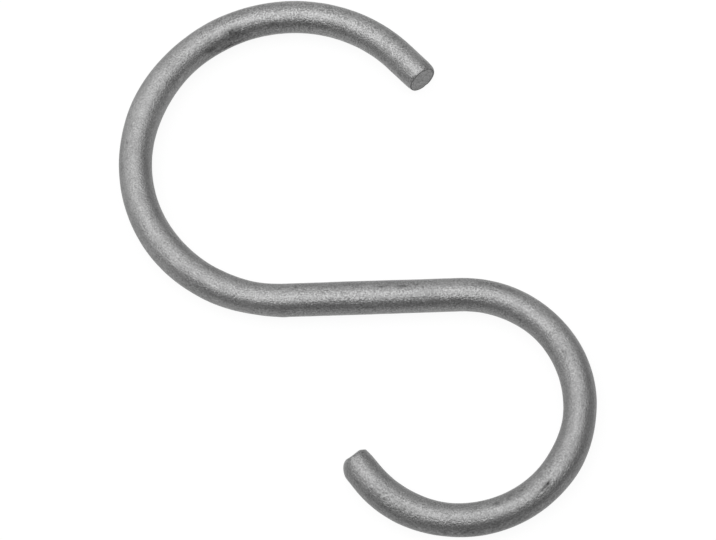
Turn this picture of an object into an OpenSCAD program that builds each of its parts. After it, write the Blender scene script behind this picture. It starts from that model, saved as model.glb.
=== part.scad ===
// S hook bent from one length of round galvanised wire. A larger and a smaller open hook turn opposite
// ways and are joined by a straight shank. It lies flat on the table, with the line of pull on the Y axis,
// the larger hook towards +Y and the table at Z = 0.

/* [Wire] */
// Diameter of the wire
wire_d = 5; // [3:0.5:8]
// How much the wire's radius thins where it is bent
bend_thinning = 0.02; // [0.01:0.01:0.05]

/* [Larger hook] */
// Inside diameter of the bend that goes over a rail
upper_inside_d = 42; // [30:1:60]
// Angle that the bend turns through
upper_wrap = 227; // [180:1:235]
// Straight length that the bender leaves at the tip
upper_tail = 5.5; // [3:0.5:12]
// Lean of the sheared face, which looks a little upwards
upper_cut_lean = 7; // [0:1:25]
// Rounding of the sheared face's rim
upper_rim_r = 0.4; // [0.2:0.1:1]

/* [Smaller hook] */
// Inside diameter of the bend that carries the load
lower_inside_d = 30; // [20:1:50]
// Angle that the bend turns through
lower_wrap = 233; // [180:1:240]
// Straight length that the bender leaves at the tip
lower_tail = 3.9; // [3:0.1:12]
// Lean of the sheared face, which looks upwards
lower_cut_lean = 18; // [0:1:25]
// Rounding of the sheared face's rim
lower_rim_r = 0.8; // [0.2:0.1:1]
// Corner nipped off the outer side of the tip by the shear
lower_nip = 1.6; // [0.2:0.1:2]
// How far the nipped corner is turned up from the outer side
lower_nip_up = 30; // [0:5:60]

/* [Shank] */
// Straight length between the two bends
shank_len = 26; // [10:1:60]

/* [Hidden] */
$fn = 128;
wire_r = wire_d / 2;
upper_r = (upper_inside_d + wire_d) / 2;
lower_r = (lower_inside_d + wire_d) / 2;
// The shank is the inner tangent of the two bends, so it fixes how far apart their centres lie
centre_gap = norm([shank_len, upper_r + lower_r]);
shank_heading = atan2(upper_r + lower_r, shank_len) - 90;
overall_len = centre_gap + upper_r + lower_r + wire_d;
upper_centre = [0, overall_len / 2 - upper_r - wire_r, wire_r];
lower_centre = [0, lower_r + wire_r - overall_len / 2, wire_r];
// The rounded rim ends this much steeper than the lean, so that it leaves the wire at a clear angle
rim_clear_angle = 20;
rim_step = 10;
// The straights run this far over the thinner bends, which closes the joins between them
lap = 0.1;
zinc_grey = [0.56, 0.57, 0.58];

// What the shear leaves: a flat face at z = 0 with a rounded rim, widening downwards past the wire
module sheared_plug(depth, lean, rim_r) {
    end_angle = lean + rim_clear_angle;
    arc_centre = [wire_r - rim_r, -rim_r];
    rim = [for (a = [90:-rim_step:end_angle]) arc_centre + rim_r * [cos(a), sin(a)]];
    last = rim[len(rim) - 1];
    skirt = last + (depth + last[1]) * [tan(end_angle), -1];
    rotate_extrude() polygon(concat([[0, 0]], rim, [skirt, [0, -depth]]));
}

// Straight wire along +Z between two bends, or from one bend to past its sheared end
module straight(length) {
    translate([0, 0, -lap]) cylinder(r = wire_r, h = length + 2 * lap);
}

// Straight tip along +Z with its sheared end, where +Y is up and +X is the hook's outer side
module tip(length, lean, rim_r) {
    intersection() {
        straight(length + wire_d);
        translate([0, 0, length]) rotate([-lean, 0, 0]) sheared_plug(length + wire_d, lean, rim_r);
    }
}

// Everything past the 45 degree face that nips the tip's outer corner
module nipped_corner(length, nip, turned_up) {
    rotate([0, 0, turned_up]) translate([wire_r, 0, length]) rotate([0, 45, 0])
        translate([-wire_d, -wire_d, -nip / sqrt(2)]) cube([2 * wire_d, 2 * wire_d, wire_d]);
}

// Stands its children at the free end of a bend, with +Z along the wire and +Y up
module at_bend_end(r, wrap) {
    rotate([0, 0, -wrap]) translate([r, 0, 0]) rotate([90, 0, 0]) children();
}

// Bend about its own centre, from the free end to the shank at angle 0
module bend(r, wrap) {
    rotate([0, 0, -wrap]) rotate_extrude(angle = wrap) translate([r, 0]) circle(r = wire_r - bend_thinning);
}

module s_hook() {
    color(zinc_grey) {
        translate(upper_centre) rotate([0, 0, shank_heading - 90]) {
            bend(upper_r, upper_wrap);
            at_bend_end(upper_r, upper_wrap) tip(upper_tail, upper_cut_lean, upper_rim_r);
            translate([upper_r, 0, 0]) rotate([-90, 0, 0]) straight(shank_len);
        }
        translate(lower_centre) rotate([0, 0, shank_heading + 90]) {
            bend(lower_r, lower_wrap);
            at_bend_end(lower_r, lower_wrap) difference() {
                tip(lower_tail, lower_cut_lean, lower_rim_r);
                nipped_corner(lower_tail, lower_nip, lower_nip_up);
            }
        }
    }
}

s_hook();
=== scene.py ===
import math

import bmesh
import bpy
import numpy as np
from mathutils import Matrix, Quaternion, Vector


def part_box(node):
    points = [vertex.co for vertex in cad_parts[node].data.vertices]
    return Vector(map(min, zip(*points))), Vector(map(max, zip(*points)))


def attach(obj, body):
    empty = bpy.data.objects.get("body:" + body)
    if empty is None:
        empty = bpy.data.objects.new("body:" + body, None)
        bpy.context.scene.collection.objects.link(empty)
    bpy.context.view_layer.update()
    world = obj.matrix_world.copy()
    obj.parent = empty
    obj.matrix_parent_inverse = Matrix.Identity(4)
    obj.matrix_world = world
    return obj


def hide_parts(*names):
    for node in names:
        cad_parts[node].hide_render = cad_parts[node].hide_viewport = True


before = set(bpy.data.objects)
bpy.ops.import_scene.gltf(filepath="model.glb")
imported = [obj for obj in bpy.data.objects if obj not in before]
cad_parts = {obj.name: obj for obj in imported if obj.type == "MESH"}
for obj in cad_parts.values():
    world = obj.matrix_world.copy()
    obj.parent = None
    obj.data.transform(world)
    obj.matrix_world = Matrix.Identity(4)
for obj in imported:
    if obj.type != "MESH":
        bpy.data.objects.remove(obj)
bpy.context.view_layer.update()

# The hook is one length of round steel wire, drawn, sheared off at both ends and bent cold in one plane.
# It is swept from a ring at the middle of the shank, first round the larger hook and then round the
# smaller one, and each tip is drawn in to a sheared face.
box_low, box_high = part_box("s_hook")
wire_r = (box_high.z - box_low.z) / 2
mm = 0.001
upper_r = 21 * mm + wire_r
upper_wrap = math.radians(227)
upper_tail = 5.45 * mm
upper_lean = math.radians(6)
lower_r = 15 * mm + wire_r
lower_wrap = math.radians(233)
lower_tail = 3.9 * mm
lower_lean = math.radians(18)
shank_len = 26 * mm
centre_gap = math.hypot(shank_len, upper_r + lower_r)
shank_heading = math.atan2(upper_r + lower_r, shank_len) - math.pi / 2
overall_len = centre_gap + upper_r + lower_r + 2 * wire_r
up = Vector((0, 0, 1))
shank_along = Vector((math.cos(shank_heading), math.sin(shank_heading), 0))
shank_left = up.cross(shank_along)
upper_centre = Vector((0, overall_len / 2 - upper_r - wire_r, wire_r))
lower_centre = Vector((0, lower_r + wire_r - overall_len / 2, wire_r))
shank_middle = upper_centre - shank_left * upper_r + shank_along * shank_len / 2

# Each tip is given as rings, by how far in mm they lie inside the wire's skin and behind the sheared face.
# The shear rolls the rim over on the side where it bites, so the rings draw in towards the other side
upper_rings = (
    (0, 1.5), (0.02, 1.0), (0.05, 0.65), (0.10, 0.36), (0.16, 0.15), (0.22, 0.03), (0.27, 0),
    (0.32, 0.06), (0.38, 0.07), (0.45, 0.015), (0.8, 0), (1.2, 0), (1.6, 0), (2.1, 0),
)
upper_roll = 1.2 * mm
upper_skew = math.radians(6)
crease_inset = 0.35 * mm
lower_rings = (
    (0, 0.5), (0.04, 0.24), (0.13, 0.08), (0.27, 0), (0.6, 0), (1.1, 0), (1.6, 0), (2.1, 0),
)
lower_roll = 0
lower_skew = math.radians(-3)
ring_points = 44
ring_gap = 0.42 * mm
weld_gap = 0.001 * mm
# Subdividing draws a ring in by a known share, so the rings start that much wider
skin_r = wire_r * 3 / (2 + math.cos(2 * math.pi / ring_points))

bpy.ops.object.select_all(action="DESELECT")
bpy.ops.mesh.primitive_circle_add(
    vertices=ring_points,
    radius=skin_r,
    fill_type="NOTHING",
    location=shank_middle,
    rotation=(math.pi / 2, 0, shank_heading + math.pi / 2),
)
hook = bpy.context.active_object
hook.name = "galvanised_wire_hook"
hook.data.name = "galvanised_wire_hook"
bpy.ops.object.transform_apply(location=True, rotation=True, scale=True)


def pick_verts(test):
    """Selects the vertices that pass the test, and the edges and faces between them."""
    bpy.ops.mesh.select_all(action="DESELECT")
    cage = bmesh.from_edit_mesh(hook.data)
    for vert in cage.verts:
        if test(vert.co):
            vert.select = True
    cage.select_flush(True)
    bmesh.update_edit_mesh(hook.data)


def run_straight(way, length):
    """Draws the picked ring out along a straight of this length."""
    steps = max(1, round(length / ring_gap))
    bpy.ops.mesh.extrude_repeat(steps=steps, offset=way * (length / steps))


def bend_hook(centre, bend_r, shank_way, wrap, tail, lean, skew, tip_rings, roll):
    """Draws the wire from the middle of the shank round one hook to its sheared tip."""
    run_straight(shank_way, shank_len / 2)
    bpy.ops.mesh.spin(
        steps=round(bend_r * wrap / ring_gap), angle=wrap, center=centre, axis=(0, 0, 1)
    )
    shank_radius = shank_middle + shank_way * shank_len / 2 - centre
    outward = (Quaternion(up, -wrap) @ shank_radius).normalized()
    along = outward.cross(up)
    tip = centre + outward * bend_r + along * tail
    rim_depth = tip_rings[0][1] * mm
    run_straight(along, tail - rim_depth)
    ring_r = skin_r
    ring_depth = rim_depth
    for inset, depth in tip_rings[1:]:
        bpy.ops.mesh.extrude_repeat(steps=1, offset=along * (ring_depth - depth * mm))
        share = (skin_r - inset * mm) / ring_r
        ring_r *= share
        ring_depth = depth * mm
        bpy.ops.transform.resize(
            value=(share, share, share), center_override=tip - along * ring_depth - outward * roll
        )
    bpy.ops.mesh.edge_face_add()
    bpy.ops.mesh.poke()

    # The shear leaves the face leaning and a little skew, so the tip's points are moved along the wire by
    # their height and side, wholly at the rim and less and less towards the bend
    cage = bmesh.from_edit_mesh(hook.data)
    for vert in cage.verts:
        depth = (tip - vert.co).dot(along)
        if depth < tail and (vert.co - tip).length < tail + wire_r:
            share = min(1, (tail - depth) / (tail - rim_depth))
            height = vert.co.z - wire_r
            side = (vert.co - tip).dot(outward)
            vert.co += along * (side * math.tan(skew) - height * math.tan(lean)) * share
    bmesh.update_edit_mesh(hook.data)
    return tip, along, outward


bpy.ops.object.mode_set(mode="EDIT")
bpy.ops.mesh.select_mode(type="VERT")
bpy.ops.mesh.select_all(action="SELECT")
upper_tip, upper_along, upper_outward = bend_hook(
    upper_centre,
    upper_r,
    -shank_along,
    upper_wrap,
    upper_tail,
    upper_lean,
    upper_skew,
    upper_rings,
    upper_roll,
)
pick_verts(
    lambda co: abs((co - shank_middle).dot(shank_along)) < weld_gap
    and (co - shank_middle).length < 2 * wire_r
)
lower_tip, lower_along, lower_outward = bend_hook(
    lower_centre,
    lower_r,
    shank_along,
    lower_wrap,
    lower_tail,
    lower_lean,
    lower_skew,
    lower_rings,
    lower_roll,
)
bpy.ops.mesh.select_all(action="SELECT")
bpy.ops.mesh.remove_doubles(threshold=weld_gap)
bpy.ops.mesh.normals_make_consistent(inside=False)
bpy.ops.object.mode_set(mode="OBJECT")
bpy.ops.object.modifier_add(type="SUBSURF")
hook.modifiers[-1].levels = 1
hook.modifiers[-1].render_levels = 1
bpy.ops.object.modifier_apply(modifier=hook.modifiers[-1].name)

# The shear nipped the inner corner of the smaller hook's tip, so what stands past the nip is pressed flat
bpy.ops.object.mode_set(mode="EDIT")
nip_turn = math.radians(32)
nip_reach = 0.93 * mm
lower_face_way = lower_along + up * math.tan(lower_lean)
nip_normal = (lower_face_way * math.cos(nip_turn) - lower_outward * math.sin(nip_turn)).normalized()
nip_middle = lower_tip + nip_normal * nip_reach
nip_level = nip_normal.cross(up).normalized()
pick_verts(
    lambda co: (co - nip_middle).dot(nip_normal) > 0
    and (co - lower_tip).length < 2 * wire_r
)
bpy.ops.transform.resize(
    value=(1, 1, 0),
    orient_matrix=(tuple(nip_level), tuple(nip_normal.cross(nip_level)), tuple(nip_normal)),
    constraint_axis=(False, False, True),
    center_override=nip_middle,
)
bpy.ops.object.mode_set(mode="OBJECT")

points = np.zeros(len(hook.data.vertices) * 3, np.float32)
hook.data.vertices.foreach_get("co", points)
points = points.reshape(-1, 3).astype(float)

# The shear also squeezed that tip narrower, more and more towards the face and mostly on the outer side,
# and left a low swelling on the face beside the squeezed side
outer_squeeze = 1.12 * mm
inner_squeeze = 0.2 * mm
squeeze_len = 2.4 * mm
swelling_middle = 0.6 * mm
swelling_half = 0.55 * mm
swelling_len = 1.5 * mm
swelling_height = 0.17 * mm
from_tip = points - np.array(lower_tip)
outer_place = from_tip @ np.array(lower_outward)
tip_depth = -(from_tip @ np.array(lower_along)) - from_tip[:, 2] * math.tan(lower_lean)
at_tip = np.linalg.norm(from_tip, axis=1) < squeeze_len + wire_r
draw_in = np.clip(1 - tip_depth / squeeze_len, 0, 1) ** 2 * at_tip
inwards = np.where(outer_place > 0, outer_squeeze, inner_squeeze) * draw_in * outer_place / wire_r
points -= np.array(lower_outward) * inwards[:, None]
across_swelling = (outer_place - inwards - swelling_middle) / swelling_half
swelling = np.exp(-(across_swelling**2)) * np.clip(1 - tip_depth / swelling_len, 0, 1)
points += np.array(lower_along) * (swelling_height * swelling * at_tip)[:, None]

# Marks and grain follow the wire, so each point keeps where it lay while the wire was still straight:
# along it from the middle of the shank, across it to the left, and up, in mm. Of the bends and straights it
# lies on the nearest, and one that doesn't reach it counts as a metre off
out_of_reach = 1.0
runs = []
for centre, shank_way, bend_r, wrap, tip, along, tail, side in (
    (upper_centre, -shank_along, upper_r, upper_wrap, upper_tip, upper_along, upper_tail, 1),
    (lower_centre, shank_along, lower_r, lower_wrap, lower_tip, lower_along, lower_tail, -1),
):
    bend_start = shank_middle + shank_way * shank_len / 2 - centre
    from_centre = points - np.array(centre)
    bearing = np.arctan2(from_centre[:, 1], from_centre[:, 0])
    turned = (math.atan2(bend_start.y, bend_start.x) - bearing) % (2 * math.pi)
    spread = np.hypot(from_centre[:, 0], from_centre[:, 1])
    gone = shank_len / 2 + bend_r * turned
    off = np.where(turned < wrap, np.abs(spread - bend_r), out_of_reach)
    outer = np.stack([np.cos(bearing), np.sin(bearing), 0 * bearing], axis=1)
    runs.append((off, -side * gone, side * (bend_r - spread), -side * outer))
    from_tip = points - np.array(tip)
    ahead = from_tip @ np.array(along)
    tail_left = side * np.array(along.cross(up))
    gone = shank_len / 2 + bend_r * wrap + tail + ahead
    leftward = from_tip @ tail_left
    off = np.where((ahead > -tail) & (ahead < wire_r), np.abs(leftward), out_of_reach)
    runs.append((off, -side * gone, leftward, np.tile(tail_left, (len(points), 1))))
from_middle = points - np.array(shank_middle)
ahead = from_middle @ np.array(shank_along)
leftward = from_middle @ np.array(shank_left)
off = np.where(np.abs(ahead) <= shank_len / 2, np.abs(leftward), out_of_reach)
runs.append((off, ahead, leftward, np.tile(np.array(shank_left), (len(points), 1))))
nearest = np.argmin(np.array([run[0] for run in runs]), axis=0)
each_point = np.arange(len(points))
place = np.zeros((len(points), 3))
place[:, 0] = np.array([run[1] for run in runs])[nearest, each_point]
place[:, 1] = np.array([run[2] for run in runs])[nearest, each_point]
place[:, 2] = points[:, 2] - wire_r
place /= mm
left_way = np.array([run[3] for run in runs])[nearest, each_point]
wire_place = hook.data.attributes.new("wire_place", "FLOAT_VECTOR", "POINT")
wire_place.data.foreach_set("vector", place.astype(np.float32).ravel())

# The bending rolls squeezed the wire wider in a few places and drew it thinner in others, each given by its
# middle along the wire, its half length and what it adds to the half width, in mm
swells = (
    (-75, 3, 0.04),
    (-60, 6, 0.14),
    (-46, 10, 0.04),
    (-33, 8, 0.11),
    (-24, 2.5, 0.04),
    (-18, 2.5, -0.07),
    (-3, 9, 0.04),
    (27, 5, -0.075),
    (43, 3, -0.06),
    (50, 3, 0.065),
    (71, 4, -0.06),
    (79, 7, 0.11),
)
for middle, reach, extra in swells:
    swell = extra * np.exp(-(((place[:, 0] - middle) / reach) ** 2)) * place[:, 1] / (wire_r / mm)
    points += left_way * (swell * mm)[:, None]

# The zinc came out smoother and more speckled on some stretches and duller on others, each given by its
# middle along the wire and its half length in mm, and its share
bright_stretches = ((-88, 18, 1.0), (2, 20, 0.45), (-52, 14, -0.7), (42, 14, -0.4))
bright = np.zeros(len(points))
for middle, reach, share in bright_stretches:
    bright += share * np.exp(-(((place[:, 0] - middle) / reach) ** 2))
wire_bright = hook.data.attributes.new("wire_bright", "FLOAT", "POINT")
wire_bright.data.foreach_set("value", bright.astype(np.float32))


def mark_share(mark_along, mark_round, half_len, half_wide):
    """Gives each point's share of a mark, full at its middle and none at its edge."""
    mark_left = math.cos(mark_round) * wire_r / mm
    mark_up = math.sin(mark_round) * wire_r / mm
    away = ((place[:, 0] - mark_along) / half_len) ** 2
    away += ((place[:, 1] - mark_left) ** 2 + (place[:, 2] - mark_up) ** 2) / half_wide**2
    return np.clip(1 - away, 0, 1) ** 2


# Knocks, scratches and spots, each given by where it lies along the wire in mm and round it in degrees, its
# half length, half width and depth in mm, and the grime it holds. The raised one is the bending tool's mark
grime_and_shade = np.zeros(len(points))
knocks = (
    (54.5, 78, 0.75, 0.45, 0.03, 0.75),
    (55.4, 75, 1.6, 0.32, 0.02, 0.6),
    (-54.8, 113, 0.4, 0.35, 0.05, 0.6),
    (-52.1, 117, 0.4, 0.35, 0.05, 0.6),
    (-10.1, 24, 0.5, 0.4, 0.05, 0.6),
    (58.2, 120, 0.9, 0.35, 0.05, 0.4),
    (62.6, 113, 0.7, 0.4, 0.05, 0.45),
    (32.7, 106, 0.45, 0.28, 0, 0.5),
    (31.5, 110, 0.5, 0.25, 0, 0.35),
    (31.6, 144, 0.6, 0.4, 0, 0.35),
    (43.2, 88, 0.35, 0.25, 0, 0.35),
    (1.4, 70, 0.9, 0.28, 0.02, 0.8),
    (4.7, 71, 1.6, 0.42, 0.02, 0.7),
    (6.7, 66, 0.9, 0.28, 0.02, 0.6),
    (7.7, 78, 0.35, 0.28, 0.03, 0.7),
    (-11.5, 60, 0.4, 0.28, 0.03, 0.7),
    (-12.0, 70, 0.4, 0.25, 0.02, 0.4),
    (87.3, 58, 0.35, 0.32, 0.05, 0.6),
    (86.2, 36, 0.35, 0.32, 0.03, 0.4),
    (-111.6, 266, 0.6, 0.5, 0.35, 0),
    (-110.5, 128, 1.0, 1.0, 0.02, 0.25),
    (-13.5, 180, 1.2, 1.6, -0.09, 0),
)
for knock_along, knock_round, half_len, half_wide, depth, dirt in knocks:
    round_angle = math.radians(knock_round)
    press = mark_share(knock_along, round_angle, half_len, half_wide)
    inward = -(left_way * math.cos(round_angle) + np.array(up) * math.sin(round_angle))
    points += inward * (press * depth * mm)[:, None]
    grime_and_shade += dirt * press
hook.data.vertices.foreach_set("co", points.astype(np.float32).ravel())

# Stains and painted shade lie in patches, given by their places, half lengths, half widths and shares. A
# share below none is where the zinc is rubbed cleaner
stain_and_shade = np.zeros(len(points))
stains_and_shade = (
    # This first patch is painted shade on the flank beside the gouge
    (55.9, 64, 4.0, 1.5, 0.1),
    (-75.0, 30, 5.0, 1.4, 0.12),
    (-77.8, 55, 2.0, 0.8, 0.6),
    (-72.8, 34, 1.3, 0.6, 0.4),
    (-77.9, 28, 2.4, 0.7, 0.2),
    (-76.5, 5, 5.0, 0.9, 0.4),
    (-74, 63, 7.0, 1.2, 0.28),
    (-79, 6, 15.0, 1.7, 0.36),
    (66, 20, 17.0, 1.7, 0.33),
    (52, 80, 9.0, 2.2, 0.07),
    (80, 64, 9.0, 2.2, 0.3),
    (22, 118, 6.5, 1.6, 0.16),
    (-26, 118, 6.5, 1.6, 0.26),
    (-52, 118, 20.0, 2.4, -0.16),
    (-60, 34, 15.0, 1.5, -0.28),
    (-29, 78, 9.0, 1.4, -0.1),
    (-95, 62, 5.0, 0.7, 0.28),
    (-61, 58, 11.0, 1.1, 0.2),
    (8, 102, 4.5, 1.3, 0.22),
    (-12, 148, 9.0, 1.2, 0.16),
    (-80, 114, 11.0, 1.0, 0.22),
    (-81, 43, 3.5, 0.8, -0.22),
    (30, 64, 11.0, 1.0, -0.2),
    (18.5, 57, 6.0, 0.8, 0.34),
    (45, 105, 6.0, 1.5, -0.14),
    (60, 118, 5.0, 0.9, 0.24),
    (34, 95, 5.5, 0.9, 0.2),
    (2, 129, 5.0, 0.8, -0.2),
    (-34, 150, 8.0, 1.0, -0.2),
    (-100, 106, 14.0, 0.9, -0.18),
    # These two darken long stretches of the wire, most on top
    (56, 90, 48.0, 9.0, 0.12),
    (4, 90, 30.0, 9.0, 0.06),
)
for patch_along, patch_round, half_len, half_wide, share in stains_and_shade:
    stain_and_shade += share * mark_share(patch_along, math.radians(patch_round), half_len, half_wide)
wire_stain_and_shade = hook.data.attributes.new("wire_stain_and_shade", "FLOAT", "POINT")
wire_stain_and_shade.data.foreach_set("value", stain_and_shade.astype(np.float32))

# Grime and painted shade also darken the crease round the larger hook's sheared face, as a dark ring
# painted into the zinc's colour
crease_half = 0.12 * mm
crease_depth = 0.3 * mm
crease_shade_and_grime = 0.9
crease_r = wire_r - crease_inset
crease_middle = upper_tip - upper_outward * upper_roll * crease_inset / wire_r
upper_face_way = upper_along + up * math.tan(upper_lean) - upper_outward * math.tan(upper_skew)
upper_face_lean = upper_face_way.normalized()
face_lean = np.array(upper_face_lean)
face_place = points - np.array(crease_middle)
face_depth = -(face_place @ face_lean)
face_radius = np.linalg.norm(face_place + face_depth[:, None] * face_lean, axis=1)
across_crease = (face_radius - crease_r) / crease_half
crease = np.clip(1 - across_crease**2, 0, 1) * (np.abs(face_depth) < crease_depth)
# The knocks' grime and the crease's grime and painted shade add up to one darkening
grime_and_shade = np.minimum(grime_and_shade + crease_shade_and_grime * crease, 1)
wire_grime_and_shade = hook.data.attributes.new("wire_grime_and_shade", "FLOAT", "POINT")
wire_grime_and_shade.data.foreach_set("value", grime_and_shade.astype(np.float32))

# Dipping leaves the zinc a little lumpy, so the skin is pushed in and out by two sizes of lump
for lump_name, lump_size, lump_height in (
    ("broad_lumps", 4 * mm, 0.03 * mm),
    ("small_lumps", 1.1 * mm, 0.02 * mm),
):
    lumps = bpy.data.textures.new(lump_name, "CLOUDS")
    lumps.noise_scale = lump_size
    lumps.noise_depth = 1
    bpy.ops.object.modifier_add(type="DISPLACE")
    dipping = hook.modifiers[-1]
    dipping.texture = lumps
    dipping.texture_coords = "LOCAL"
    dipping.mid_level = 0.5
    dipping.strength = lump_height
    bpy.ops.object.modifier_apply(modifier=dipping.name)
bpy.ops.object.shade_smooth()

# The zinc is a dull grey metal whose skin is finely grained, with faint lines along the wire from drawing.
# The grain is a shared effect, because the sheared faces wear the same zinc, a little rougher. It gives the
# skin's height, its tone, and a mottle that breaks up the stains and painted shade patches.
grain = bpy.data.node_groups.new("zinc_grain", "ShaderNodeTree")
grain.interface.new_socket("Place", in_out="INPUT", socket_type="NodeSocketVector")
grain.interface.new_socket("Speckle", in_out="INPUT", socket_type="NodeSocketFloat")
grain.interface.new_socket("Height", in_out="OUTPUT", socket_type="NodeSocketFloat")
grain.interface.new_socket("Tone", in_out="OUTPUT", socket_type="NodeSocketFloat")
grain.interface.new_socket("Mottle", in_out="OUTPUT", socket_type="NodeSocketFloat")
grain_in = grain.nodes.new("NodeGroupInput")
grain_out = grain.nodes.new("NodeGroupOutput")


def grain_noise(scale, detail, stretch, share):
    """Adds a noise to the grain, stretched along the wire and weighed by its share."""
    mapping = grain.nodes.new("ShaderNodeMapping")
    mapping.inputs["Scale"].default_value = (1 / stretch, 1, 1)
    grain.links.new(grain_in.outputs["Place"], mapping.inputs["Vector"])
    noise = grain.nodes.new("ShaderNodeTexNoise")
    noise.inputs["Scale"].default_value = scale
    noise.inputs["Detail"].default_value = detail
    grain.links.new(mapping.outputs["Vector"], noise.inputs["Vector"])
    weighed = grain.nodes.new("ShaderNodeMath")
    weighed.operation = "MULTIPLY"
    weighed.inputs[1].default_value = share
    grain.links.new(noise.outputs["Fac"], weighed.inputs[0])
    return weighed.outputs[0]


def grain_math(operation, first, second):
    """Adds one step of arithmetic to the grain."""
    step = grain.nodes.new("ShaderNodeMath")
    step.operation = operation
    for socket, value in zip(step.inputs, (first, second)):
        if isinstance(value, float):
            socket.default_value = value
        else:
            grain.links.new(value, socket)
    return step.outputs[0]


grit_relief = grain_noise(scale=4.0, detail=2, stretch=1, share=1)
lump_relief = grain_noise(scale=1.0, detail=1, stretch=1, share=0.3)
line_relief = grain_noise(scale=3.0, detail=1, stretch=12, share=0.06)
height = grain_math("ADD", grain_math("ADD", grit_relief, lump_relief), line_relief)
grain.links.new(height, grain_out.inputs["Height"])
noise_middle = 0.5
bare_patches = 0.3
middle_tone = 0.315
specks = grain_math("SUBTRACT", grain_noise(scale=3.7, detail=1, stretch=1, share=1), noise_middle)
patches = grain_noise(scale=0.8, detail=2, stretch=1, share=2.6)
speck_patches = grain_math("MULTIPLY", specks, grain_math("SUBTRACT", patches, bare_patches))
speck_tone = grain_math("MULTIPLY", speck_patches, grain_in.outputs["Speckle"])
blotch_tone = grain_noise(scale=0.9, detail=2, stretch=1.5, share=0.15)
cloud_tone = grain_noise(scale=0.16, detail=2, stretch=1, share=0.1)
line_tone = grain_noise(scale=2.2, detail=1, stretch=14, share=0.12)
patch_tone = grain_math("ADD", grain_math("ADD", blotch_tone, cloud_tone), middle_tone)
tone = grain_math("ADD", speck_tone, grain_math("ADD", patch_tone, line_tone))
grain.links.new(tone, grain_out.inputs["Tone"])
bare_mottle = 0.6
stain_noise = grain_noise(scale=2.0, detail=1, stretch=1, share=3.2)
grain.links.new(grain_math("SUBTRACT", stain_noise, bare_mottle), grain_out.inputs["Mottle"])
tone_low = 0.35
tone_high = 0.65
least_speckle = 0.15
most_speckle = 0.82
bright_polish = 0.08
# The dark grey that stains, grime and painted shade mix into the zinc
grime_and_shade_grey = 0.05


def read_wire(nodes, attribute):
    """Adds a node that reads one of the wire's own attributes."""
    reader = nodes.new("ShaderNodeAttribute")
    reader.attribute_name = attribute
    return reader.outputs


def zinc_finish(name, dark, light, smooth, rough, relief):
    """Makes a zinc finish from the grain, with its own greys, roughness and depth of relief."""
    finish = bpy.data.materials.new(name)
    finish.use_nodes = True
    nodes = finish.node_tree.nodes
    links = finish.node_tree.links
    metal = nodes["Principled BSDF"]
    metal.inputs["Metallic"].default_value = 1
    skin = nodes.new("ShaderNodeGroup")
    skin.node_tree = grain
    links.new(read_wire(nodes, "wire_place")["Vector"], skin.inputs["Place"])
    brightness = read_wire(nodes, "wire_bright")["Fac"]
    speckle = nodes.new("ShaderNodeMapRange")
    speckle.inputs["From Min"].default_value = -1
    speckle.inputs["From Max"].default_value = 1
    speckle.inputs["To Min"].default_value = least_speckle
    speckle.inputs["To Max"].default_value = most_speckle
    links.new(brightness, speckle.inputs["Value"])
    links.new(speckle.outputs["Result"], skin.inputs["Speckle"])
    greys = nodes.new("ShaderNodeValToRGB")
    greys.color_ramp.elements[0].position = tone_low
    greys.color_ramp.elements[0].color = (dark, dark, dark, 1)
    greys.color_ramp.elements[1].position = tone_high
    greys.color_ramp.elements[1].color = (light, light, light, 1)
    links.new(skin.outputs["Tone"], greys.inputs["Fac"])
    # Stains, grime and painted shade mix the zinc's greys towards one dark grey, the stains broken up by
    # the mottle
    dirt_and_shade = nodes.new("ShaderNodeMath")
    dirt_and_shade.operation = "MULTIPLY_ADD"
    links.new(read_wire(nodes, "wire_stain_and_shade")["Fac"], dirt_and_shade.inputs[0])
    links.new(skin.outputs["Mottle"], dirt_and_shade.inputs[1])
    links.new(read_wire(nodes, "wire_grime_and_shade")["Fac"], dirt_and_shade.inputs[2])
    stained_and_shaded = nodes.new("ShaderNodeMix")
    stained_and_shaded.data_type = "RGBA"
    stained_and_shaded.clamp_factor = False
    links.new(dirt_and_shade.outputs[0], stained_and_shaded.inputs["Factor"])
    links.new(greys.outputs["Color"], stained_and_shaded.inputs["A"])
    stained_and_shaded.inputs["B"].default_value = (grime_and_shade_grey, grime_and_shade_grey, grime_and_shade_grey, 1)
    links.new(stained_and_shaded.outputs["Result"], metal.inputs["Base Color"])
    sheen = nodes.new("ShaderNodeMapRange")
    sheen.inputs["From Min"].default_value = tone_low
    sheen.inputs["From Max"].default_value = tone_high
    sheen.inputs["To Min"].default_value = rough
    sheen.inputs["To Max"].default_value = smooth
    links.new(skin.outputs["Tone"], sheen.inputs["Value"])
    polish = nodes.new("ShaderNodeMath")
    polish.operation = "MULTIPLY_ADD"
    polish.inputs[1].default_value = -bright_polish
    links.new(brightness, polish.inputs[0])
    links.new(sheen.outputs["Result"], polish.inputs[2])
    links.new(polish.outputs[0], metal.inputs["Roughness"])
    bump = nodes.new("ShaderNodeBump")
    bump.inputs["Strength"].default_value = 1
    bump.inputs["Distance"].default_value = relief
    links.new(skin.outputs["Height"], bump.inputs["Height"])
    links.new(bump.outputs["Normal"], metal.inputs["Normal"])
    return finish


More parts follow.
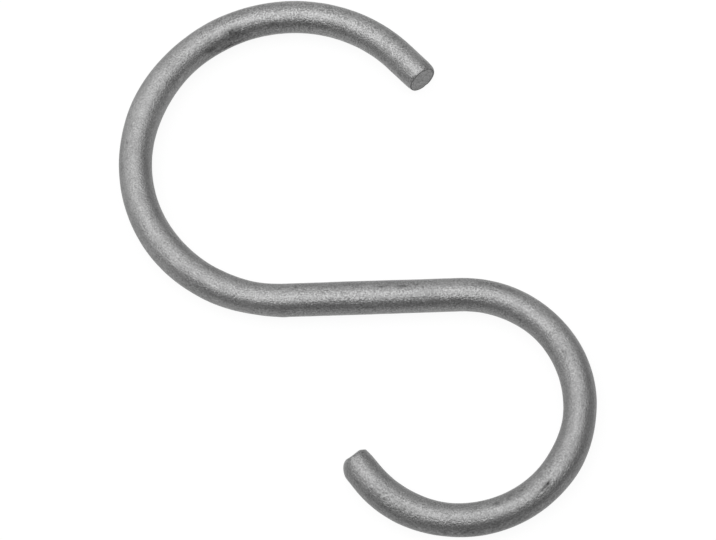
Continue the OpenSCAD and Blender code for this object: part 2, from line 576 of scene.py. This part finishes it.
hook.data.materials.append(
    zinc_finish("dull_zinc", dark=0.132, light=0.282, smooth=0.375, rough=0.415, relief=0.082 * mm)
)
hook.data.materials.append(
    zinc_finish("sheared_zinc", dark=0.12, light=0.295, smooth=0.44, rough=0.50, relief=0.09 * mm)
)
upper_face_depth = 0.12 * mm
lower_face_depth = 0.06 * mm
lower_face_lean = lower_along * math.cos(lower_lean) + up * math.sin(lower_lean)
bpy.ops.object.mode_set(mode="EDIT")
pick_verts(
    lambda co: (
        (co - upper_tip).dot(upper_face_lean) > -upper_face_depth
        and (co - crease_middle).length < crease_r
    )
    or (
        (co - lower_tip).dot(lower_face_lean) > -lower_face_depth
        and (co - lower_tip).length < 2 * wire_r
    )
)
hook.active_material_index = 1
bpy.ops.object.material_slot_assign()
bpy.ops.object.mode_set(mode="OBJECT")
hook.active_material_index = 0
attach(hook, "root")
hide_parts("s_hook")

# The table is a plain white sheet much larger than the view. It shows as white to the camera and in the
# zinc's reflections, and keeps a faint share of real light, so the hook's soft shadow stays on it.
table_size = 6.0
table_drop = 0.02 * mm
paper_grey = 0.8
white_part = 0.92
bpy.ops.object.select_all(action="DESELECT")
bpy.ops.mesh.primitive_plane_add(size=table_size, location=(0, 0, box_low.z - table_drop))
table = bpy.context.active_object
table.name = "white_table"
bpy.ops.object.transform_apply(location=True, rotation=True, scale=True)
paper = bpy.data.materials.new("white_paper")
paper.use_nodes = True
paper_nodes = paper.node_tree.nodes
paper_links = paper.node_tree.links
paper_nodes.clear()
paper_out = paper_nodes.new("ShaderNodeOutputMaterial")
matt = paper_nodes.new("ShaderNodeBsdfDiffuse")
matt.inputs["Color"].default_value = (paper_grey, paper_grey, paper_grey, 1)
white = paper_nodes.new("ShaderNodeEmission")
white.inputs["Strength"].default_value = 1
rays = paper_nodes.new("ShaderNodeLightPath")
seen = rays.outputs["Is Camera Ray"]
for ray in ("Is Transmission Ray", "Is Glossy Ray"):
    either = paper_nodes.new("ShaderNodeMath")
    either.operation = "MAXIMUM"
    paper_links.new(seen, either.inputs[0])
    paper_links.new(rays.outputs[ray], either.inputs[1])
    seen = either.outputs[0]
white_share = paper_nodes.new("ShaderNodeMath")
white_share.operation = "MULTIPLY"
white_share.inputs[1].default_value = white_part
paper_links.new(seen, white_share.inputs[0])
sheet = paper_nodes.new("ShaderNodeMixShader")
paper_links.new(white_share.outputs[0], sheet.inputs["Fac"])
paper_links.new(matt.outputs[0], sheet.inputs[1])
paper_links.new(white.outputs[0], sheet.inputs[2])
paper_links.new(sheet.outputs[0], paper_out.inputs["Surface"])
table.data.materials.append(paper)

# The light is one broad softbox above the table, a little to the right of the view, and a pale room whose
# glow is strongest behind the hook on the left, while the camera's side and the right stay dim.
view_turn = math.radians(32.53)
box_height = 0.6
box_shift = Vector((0.1, -0.04, 0)) * box_height
box_size = (1.89 * box_height, 1.26 * box_height)
box_radiance = 1.77
box_place = Quaternion(up, -view_turn) @ box_shift + up * box_height
glow_azimuth = math.radians(133.6) - view_turn
glow_elevation = math.radians(31)
glow_starts = -0.27
glow_ends = 1.33
dim_side = 0.36
bright_side = 1.72
bpy.ops.object.light_add(type="AREA", location=box_place, rotation=(0, 0, -view_turn))
softbox = bpy.context.active_object
softbox.name = "softbox"
softbox.data.shape = "RECTANGLE"
softbox.data.size = box_size[0]
softbox.data.size_y = box_size[1]
softbox.data.energy = box_radiance * math.pi * box_size[0] * box_size[1]
room = bpy.data.worlds.new("pale_room")
bpy.context.scene.world = room
room.use_nodes = True
room_nodes = room.node_tree.nodes
room_links = room.node_tree.links
ways = room_nodes.new("ShaderNodeTexCoord")
towards_glow = room_nodes.new("ShaderNodeVectorMath")
towards_glow.operation = "DOT_PRODUCT"
towards_glow.inputs[1].default_value = (
    math.cos(glow_azimuth) * math.cos(glow_elevation),
    math.sin(glow_azimuth) * math.cos(glow_elevation),
    math.sin(glow_elevation),
)
room_links.new(ways.outputs["Generated"], towards_glow.inputs[0])
glow = room_nodes.new("ShaderNodeMapRange")
glow.interpolation_type = "SMOOTHSTEP"
glow.inputs["From Min"].default_value = glow_starts
glow.inputs["From Max"].default_value = glow_ends
glow.inputs["To Min"].default_value = dim_side
glow.inputs["To Max"].default_value = bright_side
room_links.new(towards_glow.outputs["Value"], glow.inputs["Value"])
room_links.new(glow.outputs["Result"], room_nodes["Background"].inputs["Strength"])
room_nodes["Background"].inputs["Color"].default_value = (1, 1, 1, 1)

# The camera looks down on the table at the photograph's angle, from about half a metre away and through a
# long lens, so that the two rims of the wire converge as they do in the photograph.
aim = Vector((-1.0826, -0.5462, 2.5)) * mm
eye_distance = 458.53 * mm
eye_azimuth = math.radians(-109.80)
eye_elevation = math.radians(68.66)
eye_roll = math.radians(-13.63)
eye_back = Vector(
    (
        math.cos(eye_azimuth) * math.cos(eye_elevation),
        math.sin(eye_azimuth) * math.cos(eye_elevation),
        math.sin(eye_elevation),
    )
)
eye_turn = eye_back.to_track_quat("Z", "Y") @ Quaternion((0, 0, 1), eye_roll)
bpy.ops.object.camera_add(location=aim + eye_back * eye_distance, rotation=eye_turn.to_euler())
camera = bpy.context.active_object
camera.name = "table_camera"
camera.data.sensor_fit = "HORIZONTAL"
camera.data.sensor_width = 36
camera.data.lens = 153.13
bpy.context.scene.camera = camera
bpy.context.scene.view_settings.view_transform = "Standard"
